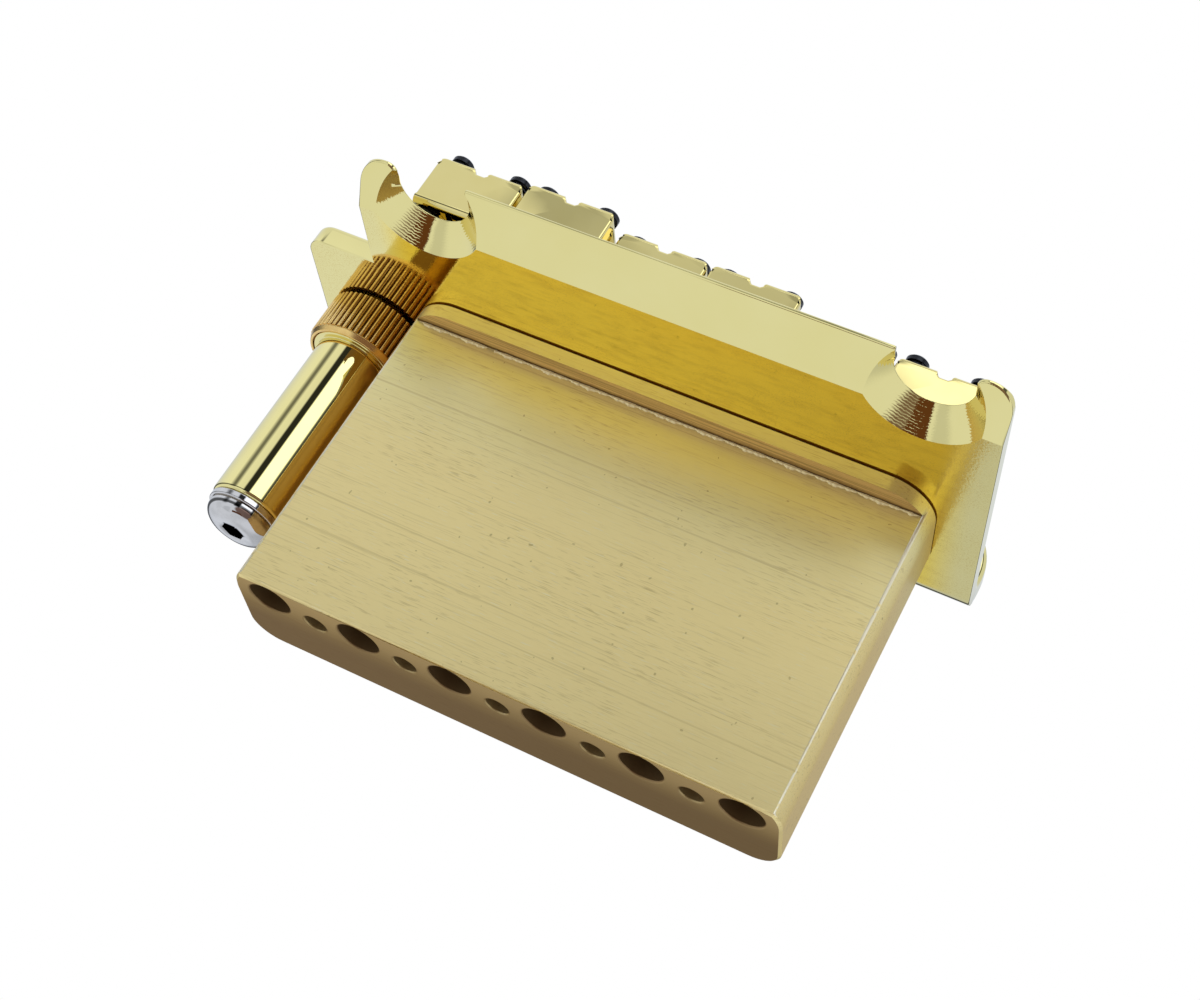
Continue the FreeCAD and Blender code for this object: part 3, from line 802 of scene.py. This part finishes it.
def setScrew(n, look):
    name, node = f"heightScrewPair{n}", f"height_screws_{n}"
    low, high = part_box(node)
    height = (high.z - low.z) / mm
    radius, point, edge = look["radius"], look["point"], look["edge"]
    core = radius - 2 * look["thread"]
    rings = [(0, 0), (core - point, 0), (core, point), (core, height - look["collarFoot"]),
             (radius, height - look["collar"]), (radius, height - edge), (radius - edge, height)]
    rings += hexSocket(look, height)
    y = (low.y + high.y) / 2
    pair = [threaded(rings, look, height - look["bare"], (x, y, low.z), blackOxide)
            for x in (low.x + radius * mm, high.x - radius * mm)]
    addPiece(name, joinedMesh(name, pair), blackOxide, node, node)


for n in strings:
    setScrew(n, setScrewLook)

# Intonation screws lie along +Y with their heads behind the lip
longScrewLook = dict(
    radius=1.5, thread=0.14, pitch=0.5, start=0.6, bare=0.7, point=0.5, neck=3.6, neckStep=0.2, play=0.05,
    head=2.9, headLength=2.0, crown=0.7, seatEdge=0.15, crownEdge=0.3, hex=2.5, mouth=0.6, hexEdge=0.08,
    hexDepth=1.2, drill=0.25)


def longScrew(n, look):
    low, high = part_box(f"intonation_screw_{n}")
    top = (high.y - low.y) / mm
    core, shank = look["radius"] - 2 * look["thread"], look["radius"] - look["play"]
    seat = top - look["headLength"] + look["play"]
    neck = seat - look["neck"]
    socket = hexSocket(look, top)
    corners = [(0, 0), (core - look["point"], 0), (core, look["point"]), (core, neck),
               (shank, neck + look["neckStep"]), (shank, seat), (look["head"], seat, look["seatEdge"]),
               (look["head"], top - look["crown"], look["crownEdge"]),
               (look["head"] - look["crown"], top, look["crownEdge"]), socket[0]]
    place = ((low.x + high.x) / 2, low.y, (low.z + high.z) / 2)
    mesh = threaded(easedProfile(corners) + socket[1:], look, neck - look["bare"], place, screwGold,
                    (-math.pi / 2, 0, 0))
    addPiece(f"intonationBolt{n}", mesh, screwGold, f"screw_{n}", f"intonation_screw_{n}")


for n in strings:
    longScrew(n, longScrewLook)

# Springs lie between the lip's end and the saddle
coilLook = dict(wire=0.25 * mm, turns=5, draw=0.30, spread=0.12, solid=3.2 * mm, lag=0.028, smooth=60)


def coil(n, look):
    low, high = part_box(f"intonation_spring_{n}")
    x, z, wire = (low.x + high.x) / 2, (low.z + high.z) / 2, look["wire"]
    first, last = low.y + wire, high.y - wire
    room = look["lag"] * (last - first - look["solid"])  # its ends yield a little when it is squeezed
    first, last = first + room, last - room
    mesh = grow(bpy.data.meshes.new("coilBlank"), windCoil,
                {"Radius": (high.x - low.x) / 2 - wire, "Wire": wire, "Turns": look["turns"],
                 "Length": last - first, "Draw": look["draw"], "Place": (x, first, z),
                 "Material": springSteel}, look["smooth"])
    piece = newPiece(f"coilSpring{n}", mesh, springSteel)
    more = look["spread"] * (last - first)
    last + more
    first - more
    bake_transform(piece)
    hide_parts(f"intonation_spring_{n}")


for n in strings:
    coil(n, coilLook)
print("screws and springs made")

# The arm socket and what sits on it share one upright axis
socketLook = dict(
    radius=4.45, neck=3.90, bore=3.65, screwBore=1.55, floor=3.0, end=-31.2, under=-2.8, top=2.2,
    shoulder=5.2, shoulderTop=-8.25, shoulderLow=-8.95, edge=0.12, endEdge=0.45, lowEdge=0.25,
    highEdge=0.15, topEdge=0.05)
socketLow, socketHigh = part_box("arm_socket")
socketAxis = (socketLow + socketHigh) / 2


def onAxis(mesh):
    mesh.transform(Matrix.Translation((socketAxis.x, socketAxis.y, 0)))
    return mesh


# A hollow turned piece on that axis, its corners rounded
def addTurned(name, corners, finish, node, steps, segments):
    mesh = turnedMesh(name, inMetres(easedProfile(corners, steps, True)), segments, True)
    addPiece(name, onAxis(mesh), finish, "bridge", node)


def dressSocket(look):
    r, end, top, wide = look["radius"], look["end"], look["top"], look["shoulder"]
    floor = end + look["floor"]
    corners = [(look["screwBore"], end), (r, end, look["endEdge"]), (r, look["shoulderLow"], look["edge"]),
               (wide, look["shoulderLow"], look["lowEdge"]), (wide, look["shoulderTop"], look["highEdge"]),
               (r, look["shoulderTop"]), (r, look["under"]), (look["neck"], look["under"]),
               (look["neck"], top, look["topEdge"]), (look["bore"], top), (look["bore"], floor),
               (look["screwBore"], floor)]
    addTurned("socketTube", corners, tubeGold, "arm_socket", steps=4, segments=128)


dressSocket(socketLook)

nutLook = dict(bore=3.95, radius=4.9, top=2.2, edge=0.45, lowEdge=0.1)


def dressNut(look):
    corners = [(look["bore"], 0), (look["radius"], 0, look["lowEdge"]),
               (look["radius"], look["top"], look["edge"]), (look["bore"], look["top"], look["lowEdge"])]
    addTurned("socketNutRing", corners, plateGold, "socket_nut", steps=5, segments=96)


dressNut(nutLook)

bushLook = dict(bore=2.8, radius=3.6, edge=0.15, lowEdge=0.1)


def heightsOf(node):
    return [corner.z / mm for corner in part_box(node)]


def dressBush(look):
    bottom, top = heightsOf("arm_bush")
    corners = [(look["bore"], bottom, look["lowEdge"]), (look["radius"], bottom, look["lowEdge"]),
               (look["radius"], top, look["edge"]), (look["bore"], top, look["edge"])]
    addTurned("armBushSleeve", corners, bushPlastic, "arm_bush", steps=4, segments=72)


dressBush(bushLook)
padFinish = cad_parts["arm_stop_pad"].data.materials
padFinish.clear()
padFinish.append(bushPlastic)

# The washer and the button-head screw at the tube's end
endLook = dict(
    washer=4.3, washerBore=1.6, washerEdge=0.16, shank=1.5, head=4.0, rim=0.4, rimEdge=0.15, flat=1.9,
    short=0.25, crownSteps=12, crownPower=0.9, hex=2.5, mouth=0.62, hexEdge=0.1, hexDepth=1.2, drill=0.3,
    recessLip=0.06)


def dressEnd(look):
    seat, top = heightsOf("socket_washer")
    corners = [(look["washerBore"], seat), (look["washer"], seat, look["washerEdge"]),
               (look["washer"], top, look["washerEdge"]), (look["washerBore"], top)]
    addTurned("endWasher", corners, endSteel, "socket_washer", steps=3, segments=96)
    foot, tip = heightsOf("socket_screw")
    foot += look["short"]
    head, rim = look["head"], look["rimEdge"]
    brim = seat - look["rim"]
    rings = [(0, tip), (look["shank"], tip), (look["shank"], seat), (head - rim, seat), (head, seat - rim)]
    for i in range(look["crownSteps"] + 1):  # an arc from the rim to the flat round the socket
        angle = math.pi / 2 * i / look["crownSteps"]
        inward = (head - look["flat"]) * (1 - math.cos(angle)) ** look["crownPower"]
        rings.append((head - inward, brim - (brim - foot) * math.sin(angle) ** look["crownPower"]))
    mesh = turnedMesh("endScrew", inMetres(rings + hexSocket(look, foot, way=1)), segments=96)
    # The end screw's hex socket, drawn near black by the finish as painted shade
    recess = newMarks(mesh, "recess")[0]
    low, high = (foot + look["recessLip"]) * mm, seat * mm
    for face in mesh.polygons:
        inside = math.hypot(face.center.x, face.center.y) < look["mouth"] * look["hex"] * mm
        recess[face.index].value = float(inside and low < face.center.z < high)
    addPiece("endScrew", onAxis(mesh), endSteel, "bridge", "socket_screw")


dressEnd(endLook)

ringShape = dict(
    core=5.70, ribTop=6.0, count=50, rib=0.32, bore=4.55, recess=5.3, recessDepth=0.8, recessEdge=0.08,
    face=5.6, faceEdge=0.12, rim=5.95, rimEdge=0.15, chamfer=0.7, rimStep=0.12, ribGap=0.05)


def dressRing(look):
    bottom, top = heightsOf("tension_ring")
    deep, foot = bottom + look["recessDepth"], bottom + look["chamfer"]
    corners = [(look["bore"], deep), (look["recess"], deep), (look["recess"], bottom, look["recessEdge"]),
               (look["face"], bottom, look["faceEdge"]), (look["rim"], foot, look["rimEdge"]),
               (look["core"], foot + look["rimStep"]), (look["core"], top), (look["bore"], top)]
    profile = inMetres(easedProfile(corners, steps=3, closed=True))
    blank = turnedMesh("ringBlank", profile, segments=144, closed=True)
    height = top - foot - look["ribGap"]
    mesh = grow(blank, cutRibs,
                {"Count": look["count"], "Radius": (look["ribTop"] - look["rib"]) * mm,
                 "Rib": look["rib"] * mm, "Height": height * mm, "Lift": (foot + height / 2) * mm,
                 "Place": (socketAxis.x, socketAxis.y, 0), "Material": ringBrass})
    knurled = newMarks(mesh, "knurled")[0]
    low, high = (foot + look["ribGap"]) * mm, top * mm
    for face in mesh.polygons:
        reach = math.hypot(face.center.x - socketAxis.x, face.center.y - socketAxis.y)
        knurled[face.index].value = float(low < face.center.z < high and reach > look["recess"] * mm)
    addPiece("knurledRing", mesh, ringBrass, "tension_ring", "tension_ring")


dressRing(ringShape)

# Countersunk screws through the plate into the block
flatScrewLook = dict(
    count=3, radius=2.0, thread=0.16, pitch=0.7, start=0.5, bare=1.8, point=0.4, play=0.03, neck=1.0,
    neckFoot=1.2, head=3.65, rim=0.1, hex=2.5, mouth=0.62, hexEdge=0.1, hexDepth=1.3, drill=0.3)


def dressBlockScrews(look):
    low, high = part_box("block_screws")
    length = (high.z - low.z) / mm
    head, point, rim = look["head"], look["point"], look["rim"]
    core, shank = look["radius"] - 2 * look["thread"], look["radius"] - look["play"]
    seat = length - (head - look["radius"])
    rings = [(0, 0), (core - point, 0), (core, point), (core, seat - look["neckFoot"]),
             (shank, seat - look["neck"]), (shank, seat), (head - rim, length - rim),
             (head - 2 * rim, length)] + hexSocket(look, length)
    first, y = low.x + head * mm, (low.y + high.y) / 2
    step = (high.x - head * mm - first) / (look["count"] - 1)
    bolts = [threaded(rings, look, seat - look["bare"], (first + i * step, y, low.z), screwGold)
             for i in range(look["count"])]
    mesh = joinedMesh("blockBolts", bolts)
    addPiece("blockBolts", mesh, screwGold, "bridge", "block_screws")


dressBlockScrews(flatScrewLook)
print("socket, ring and block screws made")

# A pale floor under the block, seen only from above; it fades out towards its rim
floorLook = dict(
    radius=0.42, fade=(0.126, 0.4116), segments=96, centreY=15 * mm, drop=0.02 * mm,
    colour=(0.93, 0.93, 0.92, 1))


def layFloor(look):
    finish, tools = newFinish("paleFloor")
    coords = tools.node("ShaderNodeTexCoord").outputs["Object"]
    away = tools.num("ShaderNodeVectorMath", {0: coords}, "Value", operation="LENGTH")
    under = tools.num("ShaderNodeNewGeometry", out="Backfacing")
    clear = tools.math("MAXIMUM", tools.step(away, *look["fade"]), under)
    pale = tools.node("ShaderNodeBsdfDiffuse", {"Color": look["colour"]})
    nothing = tools.node("ShaderNodeBsdfTransparent")
    mixed = tools.node("ShaderNodeMixShader", {0: clear, 1: pale, 2: nothing})
    tools.node("ShaderNodeOutputMaterial", {"Surface": mixed})
    shape = bmesh.new()
    bmesh.ops.create_circle(shape, cap_ends=True, segments=look["segments"], radius=look["radius"])
    mesh = bpy.data.meshes.new("floorDisc")
    shape.to_mesh(mesh)
    shape.free()
    floor = newPiece("floorDisc", mesh, finish)
    floor.location = (0, look["centreY"], cadBox[0][2] - look["drop"])
    for ray in ("diffuse", "glossy", "transmission", "shadow"):
        setattr(floor, "visible_" + ray, False)


layFloor(floorLook)

# The studio: white behind, and round the object the bright and dark panels that polished metal shows; the
# panels are (part of a turn, brightness), and the pairs are where a step along x, y or z begins and ends
studioLook = dict(
    panels=[(0.0, 0.70), (0.20, 0.75), (0.30, 0.55), (0.42, 0.85), (0.52, 1.05), (0.575, 1.08),
        (0.607, 0.22), (0.624, 0.22), (0.648, 1.05), (0.70, 1.0), (0.712, 0.03), (0.755, 0.03),
        (0.765, 2.0), (0.86, 2.0), (0.872, 0.10), (0.910, 0.10), (0.928, 1.80), (0.96, 1.80), (1.0, 0.70)],
    upper=[(0.0, 0.85), (0.16, 0.80), (0.30, 0.80), (0.45, 0.90), (0.672, 0.92), (0.675, 0.56),
        (0.683, 0.56), (0.685, 0.78), (0.693, 0.78), (0.695, 0.72), (0.703, 0.72), (0.706, 0.46),
        (0.7140, 0.46), (0.7152, 1.8), (0.82, 1.8), (0.86, 1.2), (0.872, 0.12), (0.910, 0.12),
        (0.928, 0.90), (1.0, 0.85)],
    upperZ=(0.47, 0.52), above=1.0, aboveZ=(0.75, 0.92), below=0.95, belowZ=(0.05, 0.30), behind=0.25,
    behindY=(0.3, 0.8), behindX=(-0.42, -0.22), grey=0.20, greyX=((-0.78, -0.60), (-0.45, -0.33)),
    greyY=(0.15, 0.3), greyZ=(0.5, 0.6), card=(0.12, 0.047, 0.02, 1), cardX=((-0.30, -0.26), (0.18, 0.22)),
    cardY=(0.28, 0.34), cardZ=((0.73, 0.76), (0.866, 0.874)), front=(0.42, -0.79, -0.45),
    frontReach=(0.79, 0.88), frontShare=0.9, horizon=0.85, horizonZ=((-0.12, -0.02), (0.20, 0.31)),
    tint=(0.80, 0.87, 1.0, 1), gain=1.14)


def lightStudio(look):
    world = bpy.data.worlds.new("studio")
    scene.world = world
    world.use_nodes = True
    tools = NodeTools(world.node_tree)
    coords = tools.node("ShaderNodeTexCoord").outputs["Generated"]
    x, y, z = tools.axes(coords)
    ahead, down = 0 - y, 0 - z
    turn = tools.math("FRACT", tools.math("ARCTAN2", y, x) / (2 * math.pi) + 1.0)
    panels = tools.num("ShaderNodeValToRGB", {"Fac": turn}, stops=look["panels"])
    upper = tools.num("ShaderNodeValToRGB", {"Fac": turn}, stops=look["upper"])
    behind = tools.step(y, *look["behindY"]) * tools.step(x, *look["behindX"])
    grey = tools.step(ahead, *look["greyY"]) * tools.step(down, *look["greyZ"])
    grey = tools.band(x, *look["greyX"]) * grey
    below = (look["below"] - look["behind"] * behind) * (1 - look["grey"] * grey)
    level = panels
    for part, way, limits in ((upper, z, "upperZ"), (look["above"], z, "aboveZ"), (below, down, "belowZ")):
        share = tools.step(way, *look[limits])
        level = level * (1 - share) + part * share
    level = level * (1 - look["horizon"] * tools.band(z, *look["horizonZ"])) * look["gain"]
    # A brown card below, which both notches show, and a darker patch low in front
    card = tools.band(x, *look["cardX"]) * tools.band(down, *look["cardZ"])
    card = card * tools.step(ahead, *look["cardY"])
    near = tools.num("ShaderNodeVectorMath", {0: coords, 1: look["front"]}, "Value", operation="DOT_PRODUCT")
    card = tools.math("MAXIMUM", card, look["frontShare"] * tools.step(near, *look["frontReach"]))
    tone = tools.mixColour(card, look["tint"], look["card"])
    seen = tools.num("ShaderNodeLightPath", out="Is Camera Ray")  # the backdrop itself is white
    level = level * (1 - seen) + seen
    tone = tools.mixColour(seen, tone, (1, 1, 1, 1))
    glow = tools.node("ShaderNodeBackground", {"Color": tone, "Strength": level})
    tools.node("ShaderNodeOutputWorld", {"Surface": glow})


lightStudio(studioLook)

# The camera stands low in front and looks up at the underside
cameraLook = dict(
    focal=56.036, sensor=36, clip=(0.001, 10), place=(56.347, -146.517, -104.819),
    right=(0.8847769165, 0.0602854715, 0.4620989828), down=(0.3623986763, 0.5343997520, -0.7635994397),
    ahead=(-0.2929795341, 0.8430792175, 0.4509771897))


def setCamera(look):
    lens = bpy.data.cameras.new("photoCamera")
    lens.sensor_fit = "HORIZONTAL"
    lens.sensor_width = look["sensor"]
    lens.lens = look["focal"]
    lens.clip_start, lens.clip_end = look["clip"]
    camera = bpy.data.objects.new("photoCamera", lens)
    scene.collection.objects.link(camera)
    right, up, back = Vector(look["right"]), -Vector(look["down"]), -Vector(look["ahead"])
    turn = Matrix((right, up, back)).transposed().to_4x4()
    camera.matrix_world = Matrix.Translation(Vector(look["place"]) * mm) @ turn
    scene.camera = camera
    scene.view_settings.view_transform = "Standard"


setCamera(cameraLook)
print("studio and camera set")
